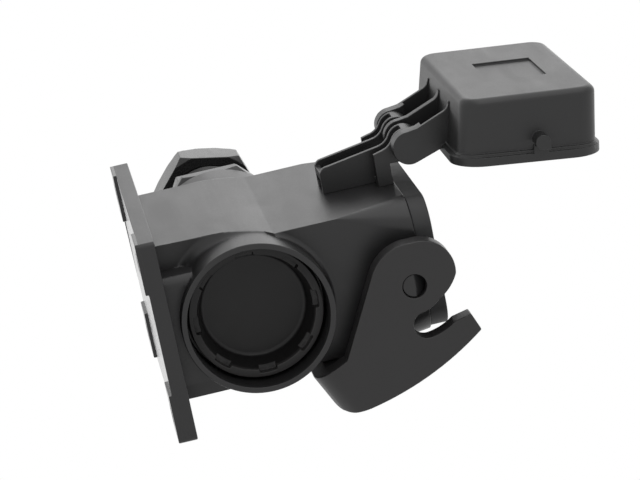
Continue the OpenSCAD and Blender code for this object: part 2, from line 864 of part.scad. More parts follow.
// What the round outer corner of the handle takes away, beyond the bar's face
module handle_corner_cut() {
    r = handle_corner_r;
    cut_l = 5 * lever_head_r;
    translate([-r, 0, r])
        rotate([90, 0, 0])
            translate([0, 0, -cut_l])
                linear_extrude(2 * cut_l)
                    difference() {
                        translate([0, -r - lap])
                            square([r + lap, r + lap]);
                        circle(r);
                    }
}

// Height of the ribs' upper edges above the neck's centre plane
function rib_y(z) = rib_top_y + (z - rib_top_z) * (rib_rise_y - rib_top_y) / (rib_rise_z - rib_top_z);

// Side outline of a bracket rib: a rising edge that sweeps up round the knuckle
module rib_outline(start_z, nose_r) {
    hinge = [hinge_y, hinge_z];
    run = [rib_rise_y - rib_top_y, rib_rise_z - rib_top_z];
    along = run / norm(run);
    out = [along[1], -along[0]];
    first = [rib_top_y, rib_top_z] + rib_sweep_r * out - hinge;
    reach = knuckle_r + rib_sweep_r;
    b = first * along;
    sweep = hinge + first + (-b - sqrt(b * b - first * first + reach * reach)) * along;
    nose_mid = [rib_y(start_z + nose_r) - nose_r, start_z + nose_r];
    difference() {
        polygon([[bracket_y, start_z], [nose_mid[0], start_z], nose_mid + [nose_r, 0],
                 sweep - rib_sweep_r * out, sweep, hinge, hinge - [knuckle_r, 0],
                 [hinge_y - knuckle_r + 0.2, bracket_end_z], [bracket_y, bracket_end_z]]);
        translate(sweep)
            circle(rib_sweep_r);
    }
    translate(hinge)
        circle(knuckle_r);
    translate(nose_mid)
        circle(nose_r);
}

// The bracket slides onto the rail of the neck and carries the cover
module hinge_bracket() {
    inner_out_x = rib_inner_x + rib_t;
    outer_in_x = rib_outer_x - rib_t;
    pocket_z = hinge_z - 0.5;
    color(shell_colour)
        difference() {
            union() {
                translate([-inner_out_x, bracket_y, tongue_z])
                    cube([2 * inner_out_x, bracket_base_t, bracket_end_z - tongue_z]);
                translate([-rib_outer_x, bracket_y, foot_z])
                    cube([2 * rib_outer_x, bracket_base_t, bracket_end_z - foot_z]);
                translate([-rib_outer_x, bracket_y, bracket_end_z - rib_t])
                    cube([2 * rib_outer_x, bracket_wall_h, rib_t]);
                translate([-inner_out_x, rib_top_y - tie_drop, tongue_z])
                    cube([2 * inner_out_x, tie_h, rib_t]);
                both_ends() {
                    along_x(rib_inner_x, inner_out_x)
                        rib_outline(tongue_z, rib_nose_r);
                    along_x(outer_in_x, rib_outer_x)
                        rib_outline(foot_z, rib_t / 2);
                    along_x(inner_out_x - lap / 2, outer_in_x + lap / 2) {
                        translate([hinge_y, hinge_z])
                            circle(trunnion_r + 0.9);
                        intersection() {
                            translate([hinge_y, hinge_z])
                                circle(knuckle_r);
                            translate([hinge_y - 2 * knuckle_r, pocket_z])
                                square(4 * knuckle_r);
                        }
                    }
                }
            }
            both_ends()
                rod_x(trunnion_r + trunnion_gap, rib_inner_x + 0.8, rib_outer_x + lap, hinge_y, hinge_z);
            translate([0, 0, tongue_z - lap])
                linear_extrude(bracket_end_z - tongue_z)
                    rail_section(rail_gap);
        }
}

// Turns the cover from its closed place to the modelled pose
module cover_pose() {
    translate([0, hinge_y, hinge_z])
        rotate([-cover_open, 0, 0])
            translate([0, -hinge_y, -hinge_z])
                children();
}

// Sets a form on the cap's top, which leans and slopes a little
module cap_top() {
    translate([0, -cap_lean, cap_z])
        rotate([-cap_slope, 0, 0])
            children();
}

// Outer form of the cap, with its draft and its rounded top edge
module cap_form() {
    top_l = cap_l - 2 * cap_draft;
    top_w = cap_w - 2 * cap_draft;
    hull() {
        translate([0, 0, rim_z + rim_h - 0.5])
            linear_extrude(0.1)
                round_rect(cap_l, cap_w, cap_corner_r, $fn = hull_fn);
        cap_top()
            four_corners(top_l - 2 * cap_corner_r, top_w - 2 * cap_corner_r)
                translate([0, 0, -cap_edge_r])
                    rotate_extrude($fn = hull_fn)
                        translate([cap_corner_r - cap_edge_r, 0])
                            intersection() {
                                circle(cap_edge_r, $fn = 32);
                                translate([0, -cap_edge_r])
                                    square(2 * cap_edge_r);
                            }
    }
}

// Side outline of a hinge arm with the cover closed: its upper edge sweeps up to the cap
module arm_outline() {
    hinge = [hinge_y, hinge_z];
    bend = hinge + arm_r * [-0.5, 1.15];
    along = [-0.879, 0.477];
    out = [along[1], -along[0]];
    curl_y = cap_w / 2 - 0.7 * (cap_draft + cap_lean) + arm_curl_r;
    curl = [curl_y, bend[1] + (arm_curl_r - (curl_y - bend[0]) * out[0]) / out[1]];
    translate(hinge)
        circle(arm_r);
    polygon([hinge + arm_r * [0.28, 0.95], bend, [wall_y, bend[1] + (wall_y - bend[0]) * along[1] / along[0]],
             [wall_y, hinge_z - 0.14 * arm_r], hinge + arm_r * [-1.93, -0.19],
             hinge + arm_r * [-0.45, -0.89], hinge]);
    difference() {
        polygon([curl, [wall_y, curl[1]], [wall_y, hinge_z], curl - arm_curl_r * out]);
        translate(curl)
            circle(arm_curl_r);
    }
}

// One outer hinge arm: a round eye with a trunnion on its inner side, and a thin plate
module outer_arm() {
    difference() {
        along_x(arm_inner_x, arm_x)
            arm_outline();
        translate([arm_inner_x - 1, wall_y - 1, hinge_z + web_top])
            cube([arm_x - arm_wall - arm_inner_x + 1, hinge_y - 0.8 * arm_r - wall_y + 1, 5 * arm_r]);
    }
    rod_x(trunnion_r, rib_inner_x + 1, arm_inner_x + lap, hinge_y, hinge_z);
}

// Side outline of a latch peg: an arch, with less at its hinge side to clear the lever's head
module peg_outline() {
    translate([peg_y, peg_z]) {
        circle(peg_r);
        polygon([[-peg_r, 0], [-peg_r, -peg_r], [0, -peg_r], [peg_r, -peg_r / 2], [peg_r, 0]]);
    }
}

module cover_cap() {
    step_z = rim_z + rim_h;
    color(shell_colour)
        cover_pose()
            difference() {
                union() {
                    translate([0, 0, rim_z])
                        linear_extrude(rim_h)
                            round_rect(rim_l, rim_w, rim_corner_r);
                    translate([0, 0, step_z - 0.5])
                        linear_extrude(1.2)
                            round_rect(rim_l - 1.8, rim_w - 1.8, cap_corner_r + 0.9);
                    cap_form();
                    both_ends() {
                        along_x(cap_l / 2 - cap_wall, peg_x)
                            peg_outline();
                        translate([cap_l / 2 - cap_wall, peg_y - peg_r + 0.05, step_z - 0.5])
                            cube([rim_l / 2 - cap_l / 2 + cap_wall, 2 * peg_r - 0.1, peg_z - step_z + 0.5]);
                        outer_arm();
                    }
                    along_x(-arm_mid_t / 2, arm_mid_t / 2)
                        arm_outline();
                    translate([-arm_x + 0.5, wall_y, hinge_z + web_top - web_t])
                        cube([2 * arm_x - 1, hinge_y - arm_r - 0.6 - wall_y, web_t]);
                }
                translate([0, 0, rim_z - lap])
                    linear_extrude(rim_step_z - rim_z + lap)
                        round_rect(rim_inner_l, rim_inner_w, rim_inner_corner_r);
                translate([0, -cap_lean / 2, rim_step_z - lap])
                    linear_extrude(cap_z - cap_wall - 0.5 - rim_step_z + lap)
                        round_rect(cap_inner_l, cap_inner_w, cap_corner_r - cap_wall + 1);
                cap_top()
                    translate([-recess_l / 2, recess_y - recess_w / 2, -recess_depth])
                        cube([recess_l, recess_w, recess_depth + 1]);
            }
}

housing_shell();
insert_bushes();
mouth_seal();
blanking_plug();
plug_seal_ring();
gland_adapter();
adapter_seal_ring();
gland_body();
gland_body_seal();
gland_cage();
gland_seal_insert();
gland_nut();
locking_lever();
hinge_bracket();
cover_cap();
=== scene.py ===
# %% [markdown]
# # A connector housing in black moulded plastic
# The housing carries plugs on machines: a box with a flange, a cable gland on
# one end, a plug on the other, a lever and a hinged cover. Its solids come
# ready made and in the right place. This lesson gives them soft edges, a thread
# and finishes, and sets up the camera and the light.

# %% Load the solids
import math
from contextlib import contextmanager

import bmesh
import bpy
from mathutils import Matrix, Vector
from mathutils.bvhtree import BVHTree
from mathutils.kdtree import KDTree


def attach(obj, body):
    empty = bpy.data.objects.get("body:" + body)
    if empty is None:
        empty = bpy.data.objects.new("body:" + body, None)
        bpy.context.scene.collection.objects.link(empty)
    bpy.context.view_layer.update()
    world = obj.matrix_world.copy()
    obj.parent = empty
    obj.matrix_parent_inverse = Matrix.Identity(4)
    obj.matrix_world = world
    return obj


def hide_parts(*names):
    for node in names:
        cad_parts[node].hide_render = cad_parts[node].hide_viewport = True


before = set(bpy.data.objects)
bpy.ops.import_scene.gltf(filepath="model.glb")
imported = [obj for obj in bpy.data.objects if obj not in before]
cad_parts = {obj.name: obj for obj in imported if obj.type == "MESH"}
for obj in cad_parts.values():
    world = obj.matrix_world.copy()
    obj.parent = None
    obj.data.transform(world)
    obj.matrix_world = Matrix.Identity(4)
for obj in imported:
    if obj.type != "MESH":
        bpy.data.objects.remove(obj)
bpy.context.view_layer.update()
MM = 0.001

# %% [markdown]
# ## The camera
# The picture was taken with a long lens from the plug end, with the housing
# lying on its lever side. The housing stands on its flange here, so the camera
# is rolled instead: its three directions were worked out from the flange's
# corners, and they are put straight into the camera's matrix.

# %% Place the camera
FOCAL_PX, IMAGE_W_PX, SENSOR_MM = 2681.32, 640, 36
lens_right = Vector((-0.14805, -0.19241, 0.97008))
lens_up = Vector((0.26327, 0.93783, 0.22619))
lens_back = Vector((-0.95329, 0.28888, -0.08820))
eye = Vector((-661.05, 205.01, -13.21)) * MM

camera_data = bpy.data.cameras.new("photo_camera")
camera_data.sensor_width = SENSOR_MM
camera_data.lens = FOCAL_PX * SENSOR_MM / IMAGE_W_PX
camera_data.clip_start = 10 * MM
camera = bpy.data.objects.new("photo_camera", camera_data)
bpy.context.collection.objects.link(camera)
lens_turn = Matrix((lens_right, lens_up, lens_back)).transposed()
camera.matrix_world = Matrix.Translation(eye) @ lens_turn.to_4x4()
bpy.context.scene.camera = camera
bpy.context.scene.view_settings.view_transform = "Standard"
print("lens", round(camera_data.lens, 1), "mm, eye", tuple(round(v, 3) for v in eye))

# %% [markdown]
# ## Writing shader maths
# A finish is a small sum: grain plus flow marks, times a strength. Drawing each
# sum as nodes by hand is slow to read, so a socket is wrapped in a class whose
# operators add Math nodes. The nodes that every finish needs, a noise, a mix of
# two colours and a bump, have a method each, and any other comes from `node`.

# %% A socket that can be calculated with
MIX_A, MIX_B, MIX_COLOUR = 6, 7, 2  # the Mix node's colour sockets


class Wire:
    """One output socket; sums on it become Math nodes."""

    def __init__(self, socket):
        self.socket = socket
        self.tree = socket.id_data

    def node(self, kind, settings=None, sockets=None, out=0):
        """Adds a node; a socket takes a wire or a constant."""
        made = self.tree.nodes.new(kind)
        for name, value in (settings or {}).items():
            setattr(made, name, value)
        for name, value in (sockets or {}).items():
            if isinstance(value, Wire):
                self.tree.links.new(value.socket, made.inputs[name])
            else:
                made.inputs[name].default_value = value
        return Wire(made.outputs[out])

    def maths(self, operation, first, second):
        return self.node("ShaderNodeMath", {"operation": operation}, {0: first, 1: second})

    def vector_maths(self, operation, sockets, out="Vector"):
        return self.node("ShaderNodeVectorMath", {"operation": operation}, sockets, out)

    def noise(self, scale, detail, **more):
        """A noise over this wire's coordinates."""
        return self.node("ShaderNodeTexNoise", None,
                         {"Vector": self, "Scale": scale, "Detail": detail, **more})

    def mix(self, first, second):
        """A colour between two others, with this wire as the share of the second."""
        ends = [end if isinstance(end, Wire) else (*end, 1) for end in (first, second)]
        return self.node("ShaderNodeMix", {"data_type": "RGBA"},
                         {"Factor": self, MIX_A: ends[0], MIX_B: ends[1]}, MIX_COLOUR)

    def bump(self, strength, depth):
        """A bump with this wire as its height."""
        return self.node("ShaderNodeBump", None,
                         {"Strength": strength, "Distance": depth, "Height": self})

    def __add__(self, other):
        return self.maths("ADD", self, other)

    def __sub__(self, other):
        return self.maths("SUBTRACT", self, other)

    def __rsub__(self, other):
        return self.maths("SUBTRACT", other, self)

    def __mul__(self, other):
        return self.maths("MULTIPLY", self, other)

    __radd__ = __add__
    __rmul__ = __mul__


def new_finish(name):
    """An empty material: its shader node and the Object coordinates as a Wire."""
    finish = bpy.data.materials.new(name)
    finish.use_nodes = True
    shader = finish.node_tree.nodes["Principled BSDF"]
    place = finish.node_tree.nodes.new("ShaderNodeTexCoord")
    return finish, shader, Wire(place.outputs["Object"])


def plug_in(shader, socket, wire):
    """Leads a wire into one socket of the shader."""
    wire.tree.links.new(wire.socket, shader.inputs[socket])


print("socket class ready")

# %% [markdown]
# ## Black glass-filled plastic
# The mouldings are polyamide with glass fibre: nearly black, matte, with a fine
# spark-eroded grain from the mould and faint flow marks. The colour stays
# almost even, so what the eye reads is the grain in the gloss: two noises in
# the bump, one for the grain and one for the slight waviness of large faces.
# The feet under the flange are smoother than the rest. One function makes all
# the plastics, because they differ only in tone, gloss and grain.

# %% The plastic
FINE_DETAIL, WAVE_DETAIL = 3, 2
FIBRE_ROUGHNESS = 0.55       # how ragged the grain and the waves are
WAVE_MM = 9                  # length of the waviness of a large face
WAVE_RELIEF = 1.6            # height of the waves to that of the grain
FLOW_SCALE = 140             # flow marks per metre, roughly
FLOW_STRETCH = (0.25, 1, 1)  # flow marks are long along X
FLOW_SWIRL = 0.6
GRAIN_TONE, WAVE_TONE, FLOW_TONE = 0.35, 0.3, 0.35   # shares in the colour
GRAIN_GLOSS, FLOW_GLOSS = 0.16, 0.14                 # swing of the roughness
NOISE_MIDDLE = 0.5
GRAIN_DEPTH = 0.06 * MM
POLISH = 0.65                # share of the roughness that a polished foot loses


def moulded_plastic(name, dark, light, roughness, grain_mm, grain_strength,
                    shine=0.43, polished_below_mm=None, recolour=None):
    """A plastic between two tones; `recolour` may change its tone by place."""
    finish, shader, place = new_finish(name)
    grain = place.noise(1 / (grain_mm * MM), FINE_DETAIL, Roughness=FIBRE_ROUGHNESS)
    waves = place.noise(1 / (WAVE_MM * MM), WAVE_DETAIL, Roughness=FIBRE_ROUGHNESS)
    stretched = place.node("ShaderNodeMapping", {"vector_type": "POINT"},
                           {"Vector": place, "Scale": FLOW_STRETCH})
    flow = stretched.noise(FLOW_SCALE, FINE_DETAIL, Distortion=FLOW_SWIRL)
    tone = (grain * GRAIN_TONE + waves * WAVE_TONE + flow * FLOW_TONE).mix(dark, light)
    if recolour:
        tone = recolour(place, tone)
    plug_in(shader, "Base Color", tone)
    matt = (roughness + (grain - NOISE_MIDDLE) * GRAIN_GLOSS
            + (flow - NOISE_MIDDLE) * FLOW_GLOSS)
    if polished_below_mm is not None:
        height = place.node("ShaderNodeSeparateXYZ", None, {0: place}, "Z")
        polished = place.maths("LESS_THAN", height, polished_below_mm * MM)
        matt = matt * (1 - polished * POLISH)
    plug_in(shader, "Roughness", matt)
    relief = grain + waves * WAVE_RELIEF
    plug_in(shader, "Normal", relief.bump(grain_strength, GRAIN_DEPTH))
    shader.inputs["Specular IOR Level"].default_value = shine
    return finish


print("plastic ready")

# %% [markdown]
# ## The plug's ring
# The ring round the plug is in the light on its lower side in the picture, and
# the lamps here do not reach it there. So the ring gets a slightly paler tone on
# that side: a mask by the distance from the plug's axis, times a fade across the
# ring. It stands in for light that the scene lacks.

# %% Painted light on the ring
ENTRY_Z = 25.9 * MM                       # height of the axis of both cable entries
RING_R = 14.6 * MM                        # the ring begins at this radius
# painted light: the paler tone of the ring's lit side
RING_PAINTED_LIGHT = (0.026, 0.025, 0.025)
RING_LIT_SIDE = (0, -0.95, 0.3)           # direction of its paler side
RING_FADE_FROM, RING_FADE_TO = -3 * MM, 6 * MM


def painted_light_ring(place, tone):
    """Painted light: beyond RING_R the tone turns paler on the ring's lit side, fading out
    towards the other side.
    """
    across = place.vector_maths("MULTIPLY_ADD", {0: place, 1: (0, 1, 1), 2: (0, 0, -ENTRY_Z)})
    radius = place.vector_maths("LENGTH", {0: across}, "Value")
    along = place.vector_maths("DOT_PRODUCT", {0: across, 1: RING_LIT_SIDE}, "Value")
    lit = place.node("ShaderNodeMapRange", None,
                     {"Value": along, "From Min": RING_FADE_FROM, "From Max": RING_FADE_TO})
    return (place.maths("GREATER_THAN", radius, RING_R) * lit).mix(tone, RING_PAINTED_LIGHT)


print("ring tone ready")

# %% [markdown]
# ## The five plastics
# The shell, the lever and the cover come from different moulds, so their grain
# and tone differ a little. The gland is smoother and glossier than they are, and
# the plug is darker and duller. A material of its own for each is easier to
# match to the picture than one material with masks.

# %% The moulding finishes
shell_black = moulded_plastic(
    "shell_black", dark=(0.012, 0.012, 0.0122), light=(0.020, 0.0195, 0.0203),
    roughness=0.36, grain_mm=0.35, grain_strength=0.35, polished_below_mm=0.9)
lever_black = moulded_plastic(
    "lever_black", dark=(0.013, 0.0125, 0.0128), light=(0.021, 0.0203, 0.0207),
    roughness=0.40, grain_mm=0.45, grain_strength=0.22)
cover_black = moulded_plastic(
    "cover_black", dark=(0.013, 0.013, 0.0132), light=(0.021, 0.021, 0.0213),
    roughness=0.38, grain_mm=0.28, grain_strength=0.45)
gland_black = moulded_plastic(
    "gland_black", dark=(0.012, 0.012, 0.0122), light=(0.019, 0.019, 0.0193),
    roughness=0.28, grain_mm=0.6, grain_strength=0.18, shine=0.5)
# the plug's ring gets painted light on its lower side
plug_black = moulded_plastic(
    "plug_black", dark=(0.006, 0.0057, 0.0058), light=(0.011, 0.0105, 0.0107),
    roughness=0.40, grain_mm=0.4, grain_strength=0.25, shine=0.28, recolour=painted_light_ring)
plastics = (shell_black, lever_black, cover_black, gland_black, plug_black)
print("plastics:", [finish.name for finish in plastics])

# %% [markdown]
# ## Rubber and brass
# The seals are soft black rubber, duller than the plastic and a little dusty.
# The threaded bushes are turned brass, with fine tool rings one above the other,
# which a wave texture along the height gives, and a slight stain.

# %% The rubber
RUBBER_CLEAN, RUBBER_DUSTY = (0.016, 0.016, 0.0165), (0.030, 0.030, 0.031)
RUBBER_ROUGHNESS, DUST_ROUGHNESS = 0.5, 0.2
DUST_SCALE, DUST_DETAIL = 420, 4
SKIN_SCALE, SKIN_DETAIL = 1900, 2
SKIN_STRENGTH, SKIN_DEPTH = 0.2, 0.05 * MM


def seal_rubber():
    finish, shader, place = new_finish("seal_rubber")
    dust = place.noise(DUST_SCALE, DUST_DETAIL)
    skin = place.noise(SKIN_SCALE, SKIN_DETAIL)
    plug_in(shader, "Base Color", dust.mix(RUBBER_CLEAN, RUBBER_DUSTY))
    plug_in(shader, "Roughness", RUBBER_ROUGHNESS + dust * DUST_ROUGHNESS)
    plug_in(shader, "Normal", skin.bump(SKIN_STRENGTH, SKIN_DEPTH))
    return finish


rubber_black = seal_rubber()
print("seals:", rubber_black.name)

# %% The brass
BRASS_DARK, BRASS_LIGHT = (0.70, 0.50, 0.20), (0.82, 0.66, 0.34)
BRASS_ROUGHNESS, TOOL_ROUGHNESS, STAIN_ROUGHNESS = 0.24, 0.12, 0.1
TOOL_RING_SCALE, TOOL_WOBBLE = 1600, 0.4
STAIN_SCALE, STAIN_DETAIL = 500, 3
WAVE_FACTOR = 1  # the Wave node's grey output


def turned_brass():
    finish, shader, place = new_finish("turned_brass")
    rings = place.node(
        "ShaderNodeTexWave", {"bands_direction": "Z"},
        {"Vector": place, "Scale": TOOL_RING_SCALE, "Distortion": TOOL_WOBBLE}, WAVE_FACTOR)
    stain = place.noise(STAIN_SCALE, STAIN_DETAIL)
    plug_in(shader, "Base Color", stain.mix(BRASS_DARK, BRASS_LIGHT))
    shader.inputs["Metallic"].default_value = 1.0
    plug_in(shader, "Roughness",
            BRASS_ROUGHNESS + rings * TOOL_ROUGHNESS + stain * STAIN_ROUGHNESS)
    return finish


brass = turned_brass()
print("bushes:", brass.name)

# %% [markdown]
# ## Soft edges
# A moulded edge is never sharp: the mould rounds it by a few tenths of a
# millimetre, and that narrow round catches the light. The solids have sharp
# edges, so each gets a copy whose edges are bevelled. The copy's loose triangles
# are merged first, slivers are collapsed, and flat faces become single faces.

# %% Small helpers for selecting and copying
WELD = 0.002 * MM                 # points closer than this are one
FLAT_ANGLE = math.radians(0.4)    # faces that bend less than this are one


def only(thing):
    """Selects one object alone and makes it active."""
    bpy.ops.object.select_all(action="DESELECT")
    thing.select_set(True)
    bpy.context.view_layer.objects.active = thing


@contextmanager
def editing(thing):
    """Edit mode on one object, with all of its mesh selected at the start."""
    only(thing)
    bpy.ops.object.mode_set(mode="EDIT")
    bpy.ops.mesh.select_all(action="SELECT")
    yield
    bpy.ops.object.mode_set(mode="OBJECT")


def copy_of(thing, name):
    """A copy of an object, selected alone."""
    only(thing)
    bpy.ops.object.duplicate()
    copied = bpy.context.active_object
    copied.name = name
    return copied


def merge_triangles(piece, sliver_mm):
    """Joins loose triangles, collapses slivers and makes flat faces whole."""
    with editing(piece):
        bpy.ops.mesh.remove_doubles(threshold=WELD)
        if sliver_mm:
            bpy.ops.mesh.dissolve_degenerate(threshold=sliver_mm * MM)
        bpy.ops.mesh.dissolve_limited(angle_limit=FLAT_ANGLE)


print("copy helpers ready")

# %% [markdown]
# ## Testing a bevel
# Where small faces meet, a bevel can push corners out of the surface or fold a
# face over. So a bevel is tried on a copy, and its faces are compared with the
# skin of the piece before it: a face is a fault if a corner stands away from the
# skin, or if the face lies on the skin but looks the other way.

# %% Trying a bevel and finding its faults
OFF_SKIN = 0.6            # a corner this many widths off the skin is a spike
ON_SKIN = 0.05 * MM       # a face this close lies on the skin
FOLDED_COS = 0.2          # a face turned further than this from the skin is folded
LEAST_FACE = 1e-10        # smaller faces, in square metres, have no sure direction
SMALL_FOLD_WIDTHS = 6     # a fold smaller than this square is looked at first


def bevelled(piece, chosen, width, steps):
    """A copy whose chosen edges are bevelled, in triangles."""
    trial = copy_of(piece, piece.name)
    share = trial.data.attributes.new("bevel_weight_edge", "FLOAT", "EDGE")
    for edge in chosen:
        share.data[edge].value = 1.0
    bpy.ops.object.modifier_add(type="BEVEL")
    bevel = trial.modifiers[-1]
    bevel.width, bevel.segments, bevel.limit_method = width, steps, "WEIGHT"
    bevel.use_clamp_overlap, bevel.miter_outer = False, "MITER_ARC"
    bpy.ops.object.modifier_apply(modifier=bevel.name)
    trial.data.attributes.remove(trial.data.attributes["bevel_weight_edge"])
    with editing(trial):
        bpy.ops.mesh.quads_convert_to_tris(quad_method="BEAUTY", ngon_method="BEAUTY")
    return trial


def bevel_faults(trial, skin, width):
    """The corners of spikes, of small folded faces and of large folded faces."""
    spikes, small_folds, large_folds = [], [], []
    mesh = trial.data
    away = [skin.find_nearest(v.co)[3] for v in mesh.vertices]
    for face in mesh.polygons:
        _, normal, _, rise = skin.find_nearest(face.center)
        folded = (face.area > LEAST_FACE and rise < ON_SKIN
                  and face.normal.dot(normal) < FOLDED_COS)
        if max(away[v] for v in face.vertices) > OFF_SKIN * width:
            spikes.append(face)
        elif rise > OFF_SKIN * width or folded:
            small = face.area < (SMALL_FOLD_WIDTHS * width) ** 2
            (small_folds if small else large_folds).append(face)
    return [[mesh.vertices[v].co.copy() for face in group for v in face.vertices]
            for group in (spikes, small_folds, large_folds)]


print("bevel test ready")

# %% [markdown]
# ## Rounding all edges of a piece
# The sharp edges beside a fault are left out of the next try, until a try has no
# fault that an edge can be blamed for. A second, narrower round can then take
# the edges that were left out.

# %% Round the edges
FAULT_REACH = 3           # a fault blames a corner within this many widths
SAME_PLACE = 1e-6         # nearer than this, a point is the corner itself
MOST_TRIES = 12


def round_edges(piece, width, steps, sharper_than, leave=None):
    """The piece with its sharp edges rounded, but for those that `leave` picks."""
    form = bmesh.new()
    form.from_mesh(piece.data)
    skin = BVHTree.FromBMesh(form)
    sharp = [edge for edge in form.edges
             if edge.calc_face_angle(0) > math.radians(sharper_than)
             and not (leave and leave(*[v.co for v in edge.verts]))]
    beside = {}
    for edge in sharp:
        for v in edge.verts:
            beside.setdefault(v.index, []).append(edge.index)
    corners = KDTree(len(beside))
    form.verts.ensure_lookup_table()
    for number in beside:
        corners.insert(form.verts[number].co, number)
    corners.balance()
    chosen = {edge.index for edge in sharp}
    form.free()
    for attempt in range(MOST_TRIES):
        trial = bevelled(piece, chosen, width, steps)
        groups = bevel_faults(trial, skin, width)
        tight = set()
        for group in groups:
            for place in group:
                _, corner, gap = corners.find(place)
                if SAME_PLACE < gap < FAULT_REACH * width:
                    tight.update(beside[corner])
            if tight & chosen:
                break
        if not tight & chosen:
            break
        chosen -= tight
        bpy.data.objects.remove(trial)
    print(piece.name, "rounded", len(chosen), "of", len(sharp), "edges by",
          round(width / MM, 3), "mm in", attempt + 1, "tries; faults",
          sum(len(group) for group in groups))
    name = piece.name
    bpy.data.objects.remove(piece)
    trial.name = name
    return trial


print("rounding ready")

# %% [markdown]
# ## Flat faces that look flat
# Smooth shading blends the directions of neighbouring faces. On a large flat
# face that would show as a smudge along its border, so such a face keeps its own
# direction. So do the corners at the tip of a cone, where many faces meet in one
# point, and the strips of a form that is shaded strip by strip.

# %% Keep flat faces flat
LARGE_FACE = 25 * MM * MM     # area from which a plane face keeps its direction
SAME_PLANE_COS = 0.9999998
TIP_REACH = 0.6 * MM


def plane_areas(piece):
    """For each face, the area of the plane region that it belongs to."""
    form = bmesh.new()
    form.from_mesh(piece.data)
    form.faces.ensure_lookup_table()
    region = [None] * len(form.faces)
    areas = []
    for seed in form.faces:
        if region[seed.index] is not None:
            continue
        queue, area = [seed], 0.0
        region[seed.index] = len(areas)
        while queue:
            face = queue.pop()
            area += face.calc_area()
            for other in (f for edge in face.edges for f in edge.link_faces):
                if region[other.index] is None and seed.normal.dot(other.normal) > SAME_PLANE_COS:
                    region[other.index] = len(areas)
                    queue.append(other)
        areas.append(area)
    form.free()
    return [areas[number] for number in region]


def keep_flats_flat(piece, tips, facets):
    """Gives large plane faces, tips and facets the direction of their own face."""
    areas = plane_areas(piece)
    mesh = piece.data
    normals = [corner.vector.copy() for corner in mesh.corner_normals]
    flats = 0
    for face in mesh.polygons:
        flat = areas[face.index] > LARGE_FACE or bool(facets and facets(face.center))
        flats += flat
        for corner in face.loop_indices:
            place = mesh.vertices[mesh.loops[corner].vertex_index].co
            if flat or any((place - tip).length < TIP_REACH for tip in tips):
                normals[corner] = face.normal.copy()
    mesh.normals_split_custom_set(normals)
    print(piece.name, "flat faces kept flat:", flats)


print("flat shading ready")

# %% [markdown]
# ## The whole soft copy
# One function puts the steps together: copy, merge, shape, round, shade. A
# Weighted Normal modifier lets the large faces rule the shading, so a narrow
# round shades like a mould's own radius with only a few faces. The copy then
# rides on the body of its solid and stands for it.

# %% Make a soft copy
FIRST_SHARP, FIRST_STEPS = 38, 2      # edges sharper than this, in degrees
SECOND_SHARP, SECOND_STEPS = 50, 1
SECOND_SHARE = 0.4                    # width of the second round to the first
SMOOTH_ANGLE = math.radians(48)


def soft_copy(node, body, finish, round_mm, sliver_mm=0.0, shaped=None, twice=True,
              tips=(), leave=None, facets=None):
    """A copy with soft edges that stands for a node; `shaped` changes it before that."""
    piece = copy_of(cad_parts[node], node + "_soft")
    merge_triangles(piece, sliver_mm)
    if shaped:
        shaped(piece)
    width = round_mm * MM
    piece = round_edges(piece, width, FIRST_STEPS, FIRST_SHARP, leave)
    if twice:
        piece = round_edges(piece, SECOND_SHARE * width, SECOND_STEPS, SECOND_SHARP)
    only(piece)
    bpy.ops.object.shade_smooth_by_angle(angle=SMOOTH_ANGLE)
    bpy.ops.object.modifier_add(type="WEIGHTED_NORMAL")
    piece.modifiers[-1].keep_sharp = True
    bpy.ops.object.modifier_apply(modifier=piece.modifiers[-1].name)
    keep_flats_flat(piece, tips, facets)
    piece.data.materials.clear()
    piece.data.materials.append(finish)
    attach(piece, body)
    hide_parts(node)
    return piece


print("soft copies ready")

# %% [markdown]
# ## Shaping a copy
# Two copies are shaped before their edges are rounded. By hand that is a Boolean
# with a second solid, or a bevel of a few edges that are picked by their place,
# and two helpers do the same here.

# %% Tools for shaping a copy
def join_solid(piece, other, operation):
    """One Boolean of two solids; the second is used up."""
    only(piece)
    bpy.ops.object.modifier_add(type="BOOLEAN")
    boolean = piece.modifiers[-1]
    boolean.operation, boolean.solver, boolean.object = operation, "EXACT", other
    bpy.ops.object.modifier_apply(modifier=boolean.name)
    bpy.data.objects.remove(other)


def bevel_where(piece, wanted, offset, segments):
    """Bevels the edges that `wanted` picks by their two ends."""
    with editing(piece):
        bpy.ops.mesh.select_mode(type="EDGE")
        bpy.ops.mesh.select_all(action="DESELECT")
    corners = piece.data.vertices
    for edge in piece.data.edges:
        edge.select = wanted(*[corners[v].co for v in edge.vertices])
    bpy.ops.object.mode_set(mode="EDIT")
    bpy.ops.mesh.bevel(offset=offset, segments=segments, affect="EDGES")
    bpy.ops.object.mode_set(mode="OBJECT")


print("shaping tools ready")

# %% [markdown]
# ## Webs under the cable entries
# On each end of the housing a thick web fills the gap between the flange and
# the collar of the cable entry. It is a block with a wide round on its upper
# front edge, cut to the collar's curve and joined to the shell by a Boolean
# before the edges are softened. The edges around it are left as they are, and
# the round is shaded strip by strip.

# %% Where the webs are
WEB_ROOT_X, WEB_FACE_X = 25.0 * MM, 34.0 * MM   # from inside the wall to the front
WEB_LOW_Z, WEB_HIGH_Z = 4.3 * MM, 14.0 * MM     # from inside the flange
WEB_HALF_W = 13.9 * MM
WEB_ROUND = 2.6 * MM
WALL_X, FLANGE_Z = 25.7 * MM, 4.7 * MM          # just inside the shell's own faces
NEAR = 0.05 * MM


def beside_web(*ends):
    """True for an edge that touches a web."""
    return any(WALL_X < abs(v.x) < WEB_FACE_X + NEAR and abs(v.y) < WEB_HALF_W + NEAR
               and FLANGE_Z < v.z < WEB_HIGH_Z + 2 * NEAR for v in ends)


def on_web_round(place):
    """True on the wide round of a web."""
    return (WEB_FACE_X - WEB_ROUND < abs(place.x) < WEB_FACE_X
            and WEB_HALF_W - WEB_ROUND < place.y < WEB_HALF_W and place.z < WEB_HIGH_Z)


print("webs reach out to", WEB_FACE_X, "m")

